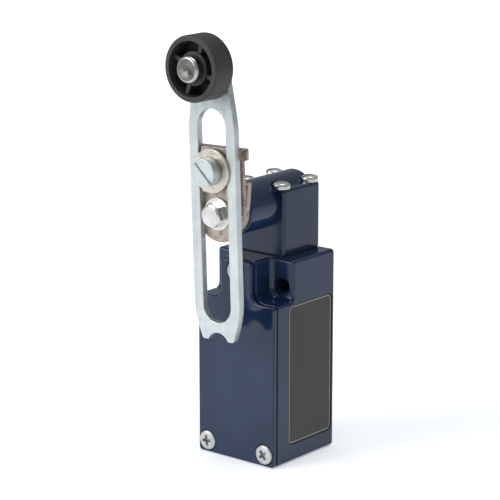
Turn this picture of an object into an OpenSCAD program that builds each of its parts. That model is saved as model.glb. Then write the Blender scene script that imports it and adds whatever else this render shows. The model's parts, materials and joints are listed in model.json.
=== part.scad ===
// Limit switch with a die-cast housing, a swivelling head and a slotted lever whose length can be set.
// X runs across the housing, Y from the cover (-) to the mounting face at y = 0, and Z upwards.
// z = 0 is the height of the two mounting holes.

/* [Housing] */
// Width of the housing
body_w = 30; // [29:0.5:34]
// Depth from the mounting face to the front of the cover
body_d = 30; // [29:0.5:34]
// Height from the cable end to the top
body_h = 64; // [62:1:72]
// Height of the mounting holes below the top
hole_drop = 8.3; // [8:0.1:9]
// Distance between the two mounting holes
hole_gap = 21; // [20.5:0.1:21.5]
// Width of each mounting slot
hole_d = 4.3; // [4.2:0.1:4.5]
// End to end length of each mounting slot
slot_len = 5.3; // [5:0.1:5.6]
// Height of the corner recesses below the top
recess_h = 12.8; // [12.4:0.1:13.4]
// Depth of the corner recesses from the front
recess_d = 9.6; // [9:0.1:10]
// Width of the spine left between the recesses
spine_w = 12.8; // [12.4:0.1:13.2]
// Rounding of the outer edges
edge_r = 1.2; // [0.8:0.1:1.5]
// Thickness of the side and back walls
wall = 2.4; // [2.2:0.1:2.6]
// Radius of the threaded cable entry
entry_r = 9.2; // [9:0.05:9.3]
// Height of the wall that carries the cable entry
entry_h = 8; // [7:0.5:9]

/* [Cover] */
// Thickness of the front cover
cover_t = 1.6; // [1.4:0.1:1.8]
// Distance between the two lower cover screws
cover_screw_gap = 22.6; // [22:0.1:23]
// Height of the lower cover screws above the cable end
cover_screw_h = 3.9; // [3.7:0.1:4.1]
// Depth of the upper cover screw below the top
cover_screw_drop = 3.6; // [3.4:0.1:3.8]

/* [Head] */
// Width of the head block
head_w = 19.2; // [18.8:0.1:19.6]
// Depth of the head block
head_d = 18; // [17.8:0.1:18.2]
// Height of the corner lands above the head gasket
head_h = 20.5; // [20.2:0.1:21]
// Thickness of the head gasket
head_gasket_t = 0.4; // [0.3:0.1:0.5]
// Height of the shaft above the housing top
axis_h = 15.7; // [15.5:0.1:16]
// Outer radius of the barrel and the snout
barrel_r = 7.9; // [7.8:0.1:8.1]
// Length of the snout in front of the head block
snout_len = 13.6; // [13.4:0.1:13.8]
// Distance between the head screws
head_screw_gap = 14; // [13.8:0.1:14.2]

/* [Shaft] */
// Radius of the shaft in its front bush
shaft_r = 4; // [3.9:0.05:4.1]
// Radius of the shaft at the cam and in its rear bush
journal_r = 3; // [2.9:0.05:3.1]
// Radius of the cam
cam_r = 4.6; // [4.5:0.05:4.7]
// Distance of the flat of the cam from the shaft centre
cam_flat = 3.5; // [3.4:0.05:3.7]

/* [Lever] */
// Tilt of the lever at rest, towards the left
lever_lean = 2; // [0:0.5:4]
// Half width of the lever
lever_hw = 8.9; // [8.7:0.1:9.1]
// Thickness of the lever
lever_t = 2.2; // [2:0.1:2.4]
// Half width of the slot
slot_hw = 5.35; // [5.3:0.05:5.5]
// Top of the slot above the shaft
slot_top = 32.1; // [31.5:0.1:32.5]
// Bottom of the slot below the shaft
slot_bottom = 33.3; // [32.8:0.1:33.8]
// Distance from the shaft to the roller pin
roller_reach = 44.9; // [44.5:0.1:45.5]
// Radius of the roller
roller_r = 10; // [9.5:0.1:10.5]
// Width of the roller
roller_w = 7.7; // [7.3:0.1:8]
// Distance from the shaft to the clamp screw
clamp_reach = 13.5; // [13.2:0.1:13.8]

/* [Hidden] */
$fn = 96;

// Heights and depths of the housing
top_z = hole_drop;
base_z = top_z - body_h;
ledge_z = top_z - recess_h;
front_y = -body_d;
seam_y = front_y + cover_t;
recess_y = front_y + recess_d;
half_w = body_w / 2;
spine_hw = spine_w / 2;
step_r = 3.5;                       // fillet between the spine and the ledges
cavity_hw = half_w - wall;
cavity_z0 = base_z + entry_h;
cavity_z1 = ledge_z - 2.2;
cavity_r = 1.5;
pocket_t = 0.35;                    // depth of the label pocket
gasket_t = 0.5;
gasket_rim = 1;

// Cover and head screws
cover_head_r = 3.1;
cover_head_t = 2;
cover_sink = 1.3;                   // depth of the counterbores in the cover
screw_r = 1.5;
screw_hole_r = 1.56;
driver_w = 0.7;

// Head
head_cy = -0.4 - head_d / 2;
head_z0 = top_z + head_gasket_t;
head_z1 = head_z0 + head_h;
axis_z = top_z + axis_h;
head_y0 = head_cy - head_d / 2;
head_y1 = head_cy + head_d / 2;
snout_y = head_y0 - snout_len;
chamber_r = 6.2;
chamber_y0 = head_y0 + 1;
chamber_y1 = head_y1 - 2.8;
bush_r = 5.5;
seal_r = 6.2;
seal_y = snout_y + 1.6;
rear_bush_r = 4.2;
rear_bush_y = chamber_y1 + 2;
fit_gap = 0.04;                     // radial clearance of a running fit
slip = 0.05;                        // clearance between faces that slide

// Stack in front of the snout
toothed_y1 = snout_y - 0.6;
toothed_y0 = toothed_y1 - 2.7;
plate_y = toothed_y0 - 2.45;        // front face of the hub plate
lever_y1 = plate_y - slip;
lever_y0 = lever_y1 - lever_t;
bolt_r = 2.5;
bolt_hole_r = 2.56;
hub_hw = 8.8;
ear_hw = 10.4;
ear_h = 3.6;
hub_top = clamp_reach + 6.9;
guide_hw = slot_hw - 0.25;
guide_t = 1.5;
guide_z0 = 6.4;
hub_washer_r = 5;
washer_t = 1;
hex_flats = 7;
hex_h = 3.25;
clamp_washer_r = 6.75;
clamp_head_r = 4.25;
clamp_head_h = 2.6;
clamp_back_y = lever_y0 - slip;

// Lever outline
shoulder_z = 26.5;
top_r = 6.4;
foot_z = 38.9;
foot_bend_z = 27.8;
foot_hw = 6;
foot_r = 0.9;
notch_hw = 4.3;
notch_h = 2.4;

// Roller and its pin
pin_r = 2.5;
roller_y1 = lever_y0 - 0.5;
roller_y0 = roller_y1 - roller_w;
rim_r = 8.3;
roller_hub_r = 5.4;
web_t = 2;
spoke_w = 1.3;
pin_head_r = 4.1;
pin_head_y = roller_y0 - 2.2;

// Tappet
tappet_top_z = axis_z - cam_r - 0.15;
tappet_r = 2.5;
tappet_disc_r = 4.5;
tappet_disc_t = 1.8;
tappet_z0 = 2;
tappet_travel = 2;
guide_bush_r = 5;
guide_bush_z1 = head_z0 + 3;

// Contact block
block_hw = 11.8;
block_y0 = -23;
block_y1 = -wall - 0.2;
block_z0 = -38;
block_z1 = -9;
chute_hw = 5.2;
chute_y0 = -20.4;
chute_y1 = -4.6;
chute_z0 = -36.2;
lid_t = 1.4;
carrier_hw = 2.3;
carrier_y0 = head_cy - 4;
carrier_y1 = head_cy + 4;
carrier_z0 = -32;
terminal_x = 8.8;
terminal_y = -19;
terminal_t = 0.8;
terminal_h = 6.4;
break_z = -16;
make_z = -30;
break_tip_z = -15;
make_tip_z = -31;
bridge_t = 0.8;
bridge_hw = 4.9;
break_bridge_z = break_tip_z - bridge_t - 0.03;
make_bridge_z = make_tip_z + terminal_t + tappet_travel + slip;
block_screw_z = -23;
earth_x = -8.4;
earth_z = -43;

// Extrudes a shape drawn in X and Z from y0 to y1
module along_y(y0, y1) {
    translate([0, y1, 0]) rotate([90, 0, 0]) linear_extrude(y1 - y0) children();
}

// Round bar along Y
module bar_y(r, y0, y1) {
    translate([0, y0, 0]) rotate([-90, 0, 0]) cylinder(r = r, h = y1 - y0);
}

// Round bar along Z
module bar_z(r, z0, z1) {
    translate([0, 0, z0]) cylinder(r = r, h = z1 - z0);
}

// Puts children on the shaft axis
module on_axis() {
    translate([0, 0, axis_z]) children();
}

// Puts children on the shaft axis, turned with the lever
module on_lever() {
    on_axis() rotate([0, -lever_lean, 0]) children();
}

// Rectangle with rounded corners, from x0, z0 to x1, z1
module round_rect(x0, z0, x1, z1, r) {
    union() {
        translate([x0 + r, z0]) square([x1 - x0 - 2 * r, z1 - z0]);
        translate([x0, z0 + r]) square([x1 - x0, z1 - z0 - 2 * r]);
        for (x = [x0 + r, x1 - r], z = [z0 + r, z1 - r]) translate([x, z]) circle(r = r);
    }
}

// Slotted hole of a given overall length and width
module long_hole(len, width) {
    half = (len - width) / 2;
    union() {
        square([2 * half, width], center = true);
        for (x = [-half, half]) translate([x, 0]) circle(r = width / 2);
    }
}

// Box whose twelve edges are all rounded, between two corners
module soft_box(a, b, r) {
    intersection() {
        translate([0, 0, a[2]]) linear_extrude(b[2] - a[2]) round_rect(a[0], a[1], b[0], b[1], r);
        along_y(a[1], b[1]) round_rect(a[0], a[2], b[0], b[2], r);
        translate([a[0], 0, 0]) rotate([90, 0, 90]) linear_extrude(b[0] - a[0])
            round_rect(a[1], a[2], b[1], b[2], r);
    }
}

// Outline of the recess on the right, with a fillet at the foot of the spine
module recess_outline() {
    union() {
        translate([spine_hw + step_r, ledge_z]) square([half_w, recess_h + 1]);
        translate([spine_hw, ledge_z + step_r]) square([half_w, recess_h + 1]);
        translate([spine_hw + step_r, ledge_z + step_r]) circle(r = step_r);
    }
}

// Front outline of the cover
module cover_outline() {
    round_rect(-half_w, base_z, half_w, ledge_z, edge_r);
    round_rect(-spine_hw + 0.4, ledge_z - 5, spine_hw - 0.4, top_z - 0.3, edge_r);
    for (side = [-1, 1]) difference() {
        translate([side * (spine_hw - 0.4 + step_r / 2), ledge_z - 0.5 + step_r / 2])
            square([step_r, step_r + 1], center = true);
        translate([side * (spine_hw - 0.4 + step_r), ledge_z + step_r]) circle(r = step_r);
    }
}

// Axes of the cover screws, as X and Z
cover_screw_spots = [
    [-cover_screw_gap / 2, base_z + cover_screw_h],
    [cover_screw_gap / 2, base_z + cover_screw_h],
    [0, top_z - cover_screw_drop]];

// Axes of the head screws, as X and Y
head_screw_spots = [for (sx = [-1, 1], sy = [-1, 1])
    [sx * head_screw_gap / 2, head_cy + sy * head_screw_gap / 2]];

// Cross recess for a driver, cut downwards from z = 0
module cross_recess(size, depth) {
    for (turn = [0, 90]) rotate([0, 0, turn])
        translate([-size / 2, -driver_w / 2, -depth]) cube([size, driver_w, depth + 1]);
}

// Machine screw that stands on z = 0 with its shank downwards
module pan_screw(head_r, head_t, shank_r, shank_len) {
    difference() {
        union() {
            rotate_extrude() intersection() {
                union() {
                    square([head_r - head_t * 0.45, head_t]);
                    square([head_r, head_t * 0.55]);
                    translate([head_r - head_t * 0.45, head_t * 0.55]) circle(r = head_t * 0.45);
                }
                square([head_r, head_t]);
            }
            bar_z(shank_r, -shank_len, 0.1);
        }
        translate([0, 0, head_t]) cross_recess(head_r * 1.1, head_t * 0.55);
    }
}

module housing() {
    color([0.09, 0.12, 0.24]) difference() {
        soft_box([-half_w, front_y, base_z], [half_w, 0, top_z], edge_r);
        // room for the cover
        translate([-half_w - 1, front_y - 1, base_z - 1]) cube([body_w + 2, cover_t + 1, body_h + 2]);
        for (side = [0, 1]) mirror([side, 0, 0]) along_y(front_y - 1, recess_y) recess_outline();
        // main room, its gasket seat and the shaft of the tappet
        along_y(seam_y - 1, -wall) round_rect(-cavity_hw, cavity_z0, cavity_hw, cavity_z1, cavity_r);
        along_y(seam_y - 1, seam_y + gasket_t) round_rect(-cavity_hw - gasket_rim,
            cavity_z0 - gasket_rim, cavity_hw + gasket_rim, cavity_z1 + gasket_rim, cavity_r);
        translate([-4.4, -17, cavity_z1 - 1]) cube([8.8, 17 - wall, top_z - wall - cavity_z1 + 1]);
        translate([0, head_cy, 0]) bar_z(guide_bush_r + 0.02, 0, top_z + 1);
        translate([0, -body_d / 2, 0]) bar_z(entry_r, base_z - 1, cavity_z0 + 1);
        for (side = [-1, 1]) along_y(recess_y - 1, 1) translate([side * hole_gap / 2, 0])
            long_hole(slot_len, hole_d);
        for (spot = cover_screw_spots) translate([spot[0], 0, spot[1]]) bar_y(screw_hole_r, seam_y - 1, -19);
        for (spot = head_screw_spots) translate([spot[0], spot[1], 0])
            bar_z(screw_hole_r, top_z - 5.6, top_z + 1);
        for (side = [-1, 1]) translate([side * terminal_x, 0, block_screw_z])
            bar_y(screw_hole_r, -wall - 1, -0.6);
        translate([earth_x, 0, earth_z]) bar_y(screw_hole_r, -wall - 1, -0.6);
        // pocket for the type label
        translate([half_w - pocket_t, -23.4, base_z + 4.6]) cube([1, 30, body_h - recess_h - 4.6 + 0.6]);
    }
    // spacer rings on the back wall for the block and the earth screw
    color([0.09, 0.12, 0.24]) translate([earth_x, 0, earth_z]) difference() {
        bar_y(3.2, -8, -wall + 0.1);
        bar_y(screw_hole_r, -9, 0);
    }
}

module front_cover() {
    color([0.10, 0.13, 0.26]) difference() {
        along_y(front_y, seam_y) cover_outline();
        for (spot = cover_screw_spots) translate([spot[0], 0, spot[1]]) {
            bar_y(screw_hole_r + 0.1, front_y - 1, 0);
            bar_y(cover_head_r + 0.25, front_y - 1, front_y + cover_sink);
        }
    }
}

module cover_gasket() {
    color([0.05, 0.05, 0.05]) along_y(seam_y, seam_y + gasket_t) difference() {
        round_rect(-cavity_hw - gasket_rim, cavity_z0 - gasket_rim,
            cavity_hw + gasket_rim, cavity_z1 + gasket_rim, cavity_r);
        round_rect(-cavity_hw, cavity_z0, cavity_hw, cavity_z1, cavity_r);
    }
}

module cover_screws() {
    color([0.72, 0.73, 0.72]) for (spot = cover_screw_spots)
        translate([spot[0], front_y + cover_sink, spot[1]]) rotate([90, 0, 0])
            pan_screw(cover_head_r, cover_head_t, screw_r, 8);
}

module type_label() {
    label_t = 0.15;
    color([0.17, 0.16, 0.15]) translate([half_w - pocket_t, 0, 0]) rotate([90, 0, 90])
        linear_extrude(label_t) round_rect(-22.6, base_z + 5.5, -0.9, ledge_z - 1, 2);
}

module earth_screw() {
    color([0.75, 0.62, 0.30]) translate([earth_x, -9, earth_z]) rotate([90, 0, 0]) {
        pan_screw(2.9, 2.2, screw_r, 7.6);
        translate([0, 0, -1]) difference() {
            bar_z(3.6, 0, 0.96);
            bar_z(screw_r + 0.05, -1, 2);
        }
    }
}

module head_housing() {
    color([0.09, 0.12, 0.24]) difference() {
        union() {
            soft_box([-head_w / 2, head_y0, head_z0 - 3], [head_w / 2, head_y1, head_z1], edge_r);
            on_axis() rotate([-90, 0, 0]) rotate_extrude() polygon([
                [0, snout_y], [barrel_r - 0.8, snout_y], [barrel_r, snout_y + 0.9],
                [barrel_r, head_y1 - 0.3], [barrel_r - 0.3, head_y1], [0, head_y1]]);
        }
        translate([-head_w, head_y0 - 1, head_z0 - 4]) cube([2 * head_w, head_d + 2, 4]);
        for (spot = head_screw_spots) translate([spot[0], spot[1], 0]) {
            bar_z(screw_r + 0.1, head_z0 - 1, head_z1 + 1);
            bar_z(3.2, head_z1, head_z1 + 9);
        }
        on_axis() {
            bar_y(seal_r, snout_y - 1, seal_y);
            bar_y(bush_r, seal_y - 1, chamber_y0 + 1);
            bar_y(chamber_r, chamber_y0, chamber_y1);
            bar_y(rear_bush_r, chamber_y1 - 1, rear_bush_y);
        }
        translate([0, head_cy, 0]) bar_z(chamber_r, head_z0 - 1, axis_z);
    }
}

module head_gasket() {
    color([0.05, 0.05, 0.05]) difference() {
        translate([0, 0, top_z]) linear_extrude(head_gasket_t) round_rect(
            -head_w / 2 + 0.2, head_y0 + 0.2, head_w / 2 - 0.2, head_y1 - 0.2, edge_r);
        translate([0, head_cy, 0]) bar_z(chamber_r, 0, head_z1);
        for (spot = head_screw_spots) translate([spot[0], spot[1], 0]) bar_z(screw_r + 0.1, 0, head_z1);
    }
}

module head_screws() {
    color([0.80, 0.79, 0.75]) for (spot = head_screw_spots) translate([spot[0], spot[1], head_z1])
        pan_screw(2.75, 1.9, screw_r, head_z1 - top_z + 5);
}

// Ring on the shaft axis
module axis_ring(outer, inner, y0, y1) {
    on_axis() difference() {
        bar_y(outer, y0, y1);
        bar_y(inner, y0 - 1, y1 + 1);
    }
}

module shaft_seal() {
    color([0.06, 0.06, 0.06]) axis_ring(seal_r, shaft_r + slip, snout_y + 0.1, seal_y);
}

module front_bush() {
    color([0.72, 0.52, 0.26]) axis_ring(bush_r, shaft_r + fit_gap, seal_y, chamber_y0);
}

module rear_bush() {
    color([0.72, 0.52, 0.26]) axis_ring(rear_bush_r, journal_r + fit_gap, chamber_y1, rear_bush_y);
}

// Section of the square end of the shaft, with its corners turned off
module square_end(flats, corner_r) {
    intersection() {
        square(flats, center = true);
        circle(r = corner_r);
    }
}

module shaft() {
    square_flats = 6.4;
    ring_y = chamber_y0 + 0.1;
    color([0.70, 0.70, 0.70]) on_axis() difference() {
        union() {
            along_y(toothed_y0, toothed_y1 + 0.1) rotate([0, 0, lever_lean])
                square_end(square_flats, shaft_r);
            bar_y(shaft_r, toothed_y1, ring_y);
            bar_y(journal_r, ring_y - 0.1, rear_bush_y - 0.3);
            bar_y(shaft_r, ring_y + 0.9, ring_y + 1.6);
        }
        bar_y(bolt_hole_r, toothed_y0 - 1, snout_y + 8);
        translate([0, head_cy, 0]) rotate([0, 90, 0]) translate([0, 0, -10]) cylinder(r = 1.02, h = 20);
    }
}

module cam() {
    color([0.45, 0.45, 0.46]) on_axis() difference() {
        bar_y(cam_r, head_cy - 4, head_cy + 4);
        bar_y(journal_r + 0.02, head_cy - 5, head_cy + 5);
        translate([-10, head_cy - 5, -cam_flat - 10]) cube([20, 10, 10]);
        translate([0, head_cy, 0]) rotate([0, 90, 0]) translate([0, 0, -10]) cylinder(r = 1.02, h = 20);
    }
}

module cam_pin() {
    color([0.60, 0.60, 0.60]) on_axis() translate([-cam_r + 0.3, head_cy, 0]) rotate([0, 90, 0])
        cylinder(r = 1, h = 2 * cam_r - 0.6);
}

module retaining_ring() {
    color([0.35, 0.33, 0.30]) axis_ring(5.2, journal_r + 0.02, chamber_y0 + 0.1, chamber_y0 + 0.9);
}

// Right-hand edge of the toothed hub, wide at the top and round at the bottom
toothed_edge = [[8.8, 9.4], [8.3, 4.4], [7.7, 0.6], [5, -2]];
toothed_flank = [for (p = toothed_edge) [p[1], p[0]]];

module toothed_hub() {
    tooth_pitch = 0.75;
    tooth_count = 12;
    tooth_depth = 0.8;
    color([0.66, 0.56, 0.50]) on_lever() difference() {
        union() {
            bar_y(7.6, toothed_y0, toothed_y1);
            along_y(toothed_y0, toothed_y1) polygon(concat(toothed_edge,
                [for (i = [3:-1:0]) [-toothed_edge[i][0], toothed_edge[i][1]]]));
        }
        along_y(toothed_y0 - 1, toothed_y1 + 1) square_end(6.4 + 2 * slip, shaft_r + slip);
        // gaps between the teeth on both flanks, in front
        for (i = [0:tooth_count - 1], side = [0, 1]) let (z = 8.8 - i * tooth_pitch)
            mirror([side, 0, 0]) translate([lookup(z, toothed_flank) - tooth_depth, toothed_y0 - 1, z - tooth_pitch / 2])
                cube([3, 2.1, tooth_pitch / 2]);
    }
}

module lever_hub() {
    color([0.72, 0.62, 0.55]) on_lever() difference() {
        union() {
            along_y(plate_y, toothed_y0) union() {
                circle(r = hub_hw);
                translate([-hub_hw, 0]) square([2 * hub_hw, hub_top]);
                round_rect(-ear_hw, hub_top - ear_h, ear_hw, hub_top, 0.4);
            }
            along_y(plate_y - guide_t, plate_y + 0.1)
                round_rect(-guide_hw, guide_z0, guide_hw, hub_top, 0.5);
            // threaded collar behind the plate for the clamp screw
            translate([0, 0, clamp_reach]) bar_y(4, toothed_y0 - 0.1, toothed_y0 + 2);
        }
        bar_y(bolt_hole_r, plate_y - 5, 0);
        translate([0, 0, clamp_reach]) bar_y(bolt_hole_r, plate_y - 5, 0);
    }
}

module hub_washer() {
    color([0.80, 0.80, 0.78]) on_lever() difference() {
        bar_y(hub_washer_r, plate_y - washer_t, plate_y);
        bar_y(bolt_hole_r + 0.1, plate_y - 5, plate_y + 1);
    }
}

module hub_bolt() {
    head_y1 = plate_y - washer_t;
    hex_r = hex_flats / 2 / cos(30);
    color([0.82, 0.82, 0.80]) on_lever() union() {
        intersection() {
            translate([0, head_y1, 0]) rotate([90, 12, 0]) cylinder(r = hex_r, h = hex_h, $fn = 6);
            translate([0, head_y1, 0]) rotate([90, 0, 0]) rotate_extrude() polygon([
                [0, 0], [hex_r + 1, 0], [hex_r + 1, hex_h - 1.1], [hex_flats / 2 - 0.2, hex_h], [0, hex_h]]);
        }
        bar_y(bolt_r, head_y1 - 0.1, snout_y + 6);
    }
}

// Washer on the clamp screw
module clamp_ring(outer, inner, y0, y1) {
    on_lever() translate([0, 0, clamp_reach]) difference() {
        bar_y(outer, y0, y1);
        bar_y(inner, y0 - 1, y1 + 1);
    }
}

module clamp_washer() {
    color([0.78, 0.74, 0.62])
        clamp_ring(clamp_washer_r, bolt_hole_r + 0.1, clamp_back_y - washer_t, clamp_back_y);
}

module clamp_spring_washer() {
    gap_w = 0.8;
    color([0.70, 0.70, 0.70]) difference() {
        clamp_ring(clamp_head_r + 0.1, bolt_hole_r + 0.1,
            clamp_back_y - 2 * washer_t, clamp_back_y - washer_t);
        on_lever() translate([0, clamp_back_y - 3 * washer_t, clamp_reach]) rotate([0, 30, 0])
            translate([0, 0, -gap_w / 2]) cube([9, 3 * washer_t, gap_w]);
    }
}

module clamp_screw() {
    head_y1 = clamp_back_y - 2 * washer_t;
    slot_w = 1;
    color([0.84, 0.85, 0.84]) on_lever() translate([0, 0, clamp_reach]) difference() {
        union() {
            translate([0, head_y1, 0]) rotate([90, 0, 0]) rotate_extrude() polygon([
                [0, 0], [clamp_head_r, 0], [clamp_head_r, clamp_head_h - 0.5],
                [clamp_head_r - 0.5, clamp_head_h], [0, clamp_head_h]]);
            bar_y(bolt_r, head_y1 - 0.1, toothed_y0 + 2.6);
        }
        translate([0, head_y1 - clamp_head_h, 0]) rotate([0, 45, 0])
            cube([12, 2.4, slot_w], center = true);
    }
}

// Front outline of the lever, with z = 0 at the shaft
module lever_outline() {
    // right-hand edge from the foot to the shoulder and on to the roller pin
    edge = [[foot_hw - foot_r, -foot_z], [foot_hw, -foot_z + foot_r], [7.4, -35], [8.5, -31],
        [lever_hw, -foot_bend_z], [lever_hw, shoulder_z], [8.1, 32.4], [6.9, 39.6],
        [top_r - 0.1, roller_reach - 1], [top_r - 0.3, roller_reach + 1]];
    last = len(edge) - 1;
    difference() {
        union() {
            polygon(concat(edge, [for (i = [last:-1:0]) [-edge[i][0], edge[i][1]]]));
            translate([0, roller_reach]) circle(r = top_r);
        }
        translate([0, -slot_bottom + slot_hw]) circle(r = slot_hw);
        translate([0, slot_top - slot_hw]) circle(r = slot_hw);
        translate([-slot_hw, -slot_bottom + slot_hw])
            square([2 * slot_hw, slot_top + slot_bottom - 2 * slot_hw]);
        // notch between the feet
        translate([0, -foot_z + notch_h - notch_hw]) circle(r = notch_hw);
    }
}

module lever() {
    color([0.76, 0.80, 0.82]) on_lever() difference() {
        along_y(lever_y0, lever_y1) lever_outline();
        translate([0, 0, roller_reach]) bar_y(pin_r + 0.02, lever_y0 - 1, lever_y1 + 1);
    }
}

// Puts children on the roller pin, with z = 0 at its centre and the pin along -Y
module on_pin() {
    on_lever() translate([0, 0, roller_reach]) rotate([90, 0, 0]) children();
}

module roller_pin() {
    rivet_r = 3.7;
    rivet_t = 1.1;
    color([0.80, 0.80, 0.78]) on_pin() rotate_extrude() union() {
        translate([0, -lever_y1 - rivet_t]) square([pin_r, lever_y1 - roller_y0 + rivet_t + 1]);
        polygon([[0, -lever_y1 - rivet_t], [rivet_r - 0.7, -lever_y1 - rivet_t],
            [rivet_r, -lever_y1 - 0.4], [rivet_r, -lever_y1], [0, -lever_y1]]);
        polygon([[0, -roller_y0 - 0.6], [pin_head_r, -roller_y0 - 0.6],
            [pin_head_r, -pin_head_y - 0.9], [pin_head_r - 0.4, -pin_head_y - 0.3],
            [pin_head_r - 1.1, -pin_head_y], [2, -pin_head_y - 0.1], [0.6, -pin_head_y - 0.7],
            [0, -pin_head_y - 0.8]]);
    }
}

module roller_washer() {
    color([0.70, 0.70, 0.70]) on_pin() difference() {
        bar_z(4.2, -lever_y0, -lever_y0 + 0.4);
        bar_z(pin_r + 0.05, -lever_y0 - 1, -lever_y0 + 1);
    }
}

module roller() {
    rim_edge = 0.7;
    hub_sink = 0.9;
    color([0.13, 0.13, 0.14]) on_pin() difference() {
        rotate_extrude() difference() {
            round_rect(0, -roller_y1, roller_r, -roller_y0, rim_edge);
            square([pin_r + slip, 100]);
            translate([0, -roller_y0 - hub_sink]) square([rim_r, 10]);
        }
        difference() {
            bar_z(rim_r, -roller_y1 + web_t, -roller_y0 + 1);
            bar_z(roller_hub_r, -roller_y1, -roller_y0 + 2);
            for (turn = [66:90:336]) rotate([0, 0, turn])
                translate([0, -spoke_w / 2, -roller_y1]) cube([roller_r, spoke_w, roller_w - 1.4]);
        }
    }
}

module tappet_guide() {
    color([0.88, 0.86, 0.80]) translate([0, head_cy, 0]) difference() {
        union() {
            bar_z(guide_bush_r, 6, top_z + 0.1);
            bar_z(guide_bush_r + 0.9, head_z0 - head_gasket_t, guide_bush_z1);
        }
        bar_z(tappet_r + fit_gap, 0, guide_bush_z1 + 1);
    }
}

module tappet() {
    color([0.70, 0.70, 0.70]) translate([0, head_cy, 0]) union() {
        bar_z(tappet_r, tappet_z0, tappet_top_z - 1);
        bar_z(tappet_disc_r, tappet_top_z - tappet_disc_t, tappet_top_z);
    }
}

// Ring of points for one cross-section of a coiled wire at turn angle a
function coil_ring(r, wire_r, a, z, sides) = [for (i = [0:sides - 1])
    let (b = 360 * i / sides)
    [(r + wire_r * cos(b)) * cos(a), (r + wire_r * cos(b)) * sin(a), z + wire_r * sin(b)]];

// Compression spring from z0 to z1, with a closed turn at each end
module coil(r, wire_r, z0, z1, turns) {
    sides = 8;
    steps = 16;
    count = steps * (turns + 2);
    closed = 2.4 * wire_r;              // rise of a closed turn
    open = (z1 - z0 - 2 * wire_r - 2 * closed) / turns;
    heights = [for (i = [0:count]) let (t = i / steps) z0 + wire_r + closed * min(1, t)
        + open * max(0, min(turns, t - 1)) + closed * max(0, t - turns - 1)];
    points = [for (i = [0:count]) each coil_ring(r, wire_r, 360 * i / steps, heights[i], sides)];
    skin = [for (i = [0:count - 1], j = [0:sides - 1])
        [i * sides + j, i * sides + (j + 1) % sides, (i + 1) * sides + (j + 1) % sides, (i + 1) * sides + j]];
    ends = [[for (j = [sides - 1:-1:0]) j], [for (j = [0:sides - 1]) count * sides + j]];
    polyhedron(points, concat(skin, ends));
}

module tappet_spring() {
    color([0.75, 0.75, 0.74]) translate([0, head_cy, 0])
        coil(3.5, 0.3, guide_bush_z1, tappet_top_z - tappet_disc_t, 4);
}

// Both terminals of one contact, drawn on the right and mirrored
module contact_terminals(screw_z, tip_z) {
    for (side = [0, 1]) mirror([side, 0, 0]) difference() {
        union() {
            translate([6.6, terminal_y - terminal_t, screw_z - terminal_h / 2])
                cube([4.8, terminal_t, terminal_h]);
            translate([3, terminal_y - terminal_t, tip_z]) cube([4.6, 12.4, terminal_t]);
        }
        translate([terminal_x, 0, screw_z]) bar_y(1.85, -30, 0);
    }
}

// Space that a pair of terminals needs in the contact base
module terminal_room(screw_z, tip_z) {
    for (side = [0, 1]) mirror([side, 0, 0]) {
        translate([6.1, block_y0 - 1, screw_z - 3.9]) cube([7, terminal_y - block_y0 + 1, 7.8]);
        translate([chute_hw - 1, terminal_y - 1, tip_z - slip])
            cube([3.5, 12.7, terminal_t + 2 * slip]);
        translate([chute_hw - 1, block_y0 + 2.1, tip_z - slip])
            cube([3.4, 3, terminal_t + 2 * slip]);
        translate([terminal_x, 0, screw_z]) bar_y(1.85, -30, -13);
    }
}

module contact_base() {
    color([0.16, 0.16, 0.17]) difference() {
        translate([-block_hw, block_y0, block_z0])
            cube([2 * block_hw, block_y1 - block_y0, block_z1 - block_z0]);
        translate([-chute_hw, chute_y0, chute_z0])
            cube([2 * chute_hw, chute_y1 - chute_y0, block_z1 - chute_z0 + 1]);
        terminal_room(break_z, break_tip_z);
        terminal_room(make_z, make_tip_z);
        for (side = [-1, 1]) translate([side * terminal_x, 0, block_screw_z])
            bar_y(screw_hole_r, block_y0 - 1, 0);
    }
}

module contact_lid() {
    color([0.80, 0.80, 0.78]) difference() {
        translate([-block_hw, block_y0, block_z1]) cube([2 * block_hw, block_y1 - block_y0, lid_t]);
        translate([0, head_cy, 0]) bar_z(tappet_r + 0.3, block_z1 - 1, 0);
    }
}

module block_screws() {
    color([0.75, 0.72, 0.62]) for (side = [-1, 1])
        translate([side * terminal_x, block_y0, block_screw_z]) rotate([90, 0, 0])
            pan_screw(2.75, 2, screw_r, -block_y0 - 0.8);
}

module break_terminals() {
    color([0.80, 0.65, 0.32]) contact_terminals(break_z, break_tip_z);
}

module make_terminals() {
    color([0.80, 0.65, 0.32]) contact_terminals(make_z, make_tip_z);
}

module terminal_clamps() {
    color([0.78, 0.74, 0.60]) for (side = [-1, 1], z = [break_z, make_z]) difference() {
        translate([side * terminal_x - 2.4, terminal_y - 2 * terminal_t - 0.2, z - 2.7])
            cube([4.8, terminal_t, 5.4]);
        translate([side * terminal_x, 0, z]) bar_y(1.85, -30, 0);
    }
}

module terminal_screws() {
    clamp_y = terminal_y - 2 * terminal_t - 0.2;
    color([0.78, 0.78, 0.76]) for (side = [-1, 1], z = [break_z, make_z])
        translate([side * terminal_x, clamp_y, z]) rotate([90, 0, 0])
            pan_screw(2.6, 2.2, 1.75, -13.5 - clamp_y);
}

module contact_carrier() {
    window_t = bridge_t + 2 * slip;
    color([0.86, 0.84, 0.78]) difference() {
        union() {
            translate([-carrier_hw, carrier_y0, carrier_z0])
                cube([2 * carrier_hw, carrier_y1 - carrier_y0, -10.5 - carrier_z0]);
            translate([0, head_cy, 0]) bar_z(tappet_r, -10.6, tappet_z0 - slip);
        }
        // windows for the two bridges and the springs that press on them
        translate([-5, head_cy - 2.6, break_bridge_z - 3.4]) cube([10, 5.2, 3.4 + window_t - slip]);
        translate([-5, head_cy - 2.6, make_bridge_z - slip]) cube([10, 5.2, 3.4 + window_t]);
    }
}

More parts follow.
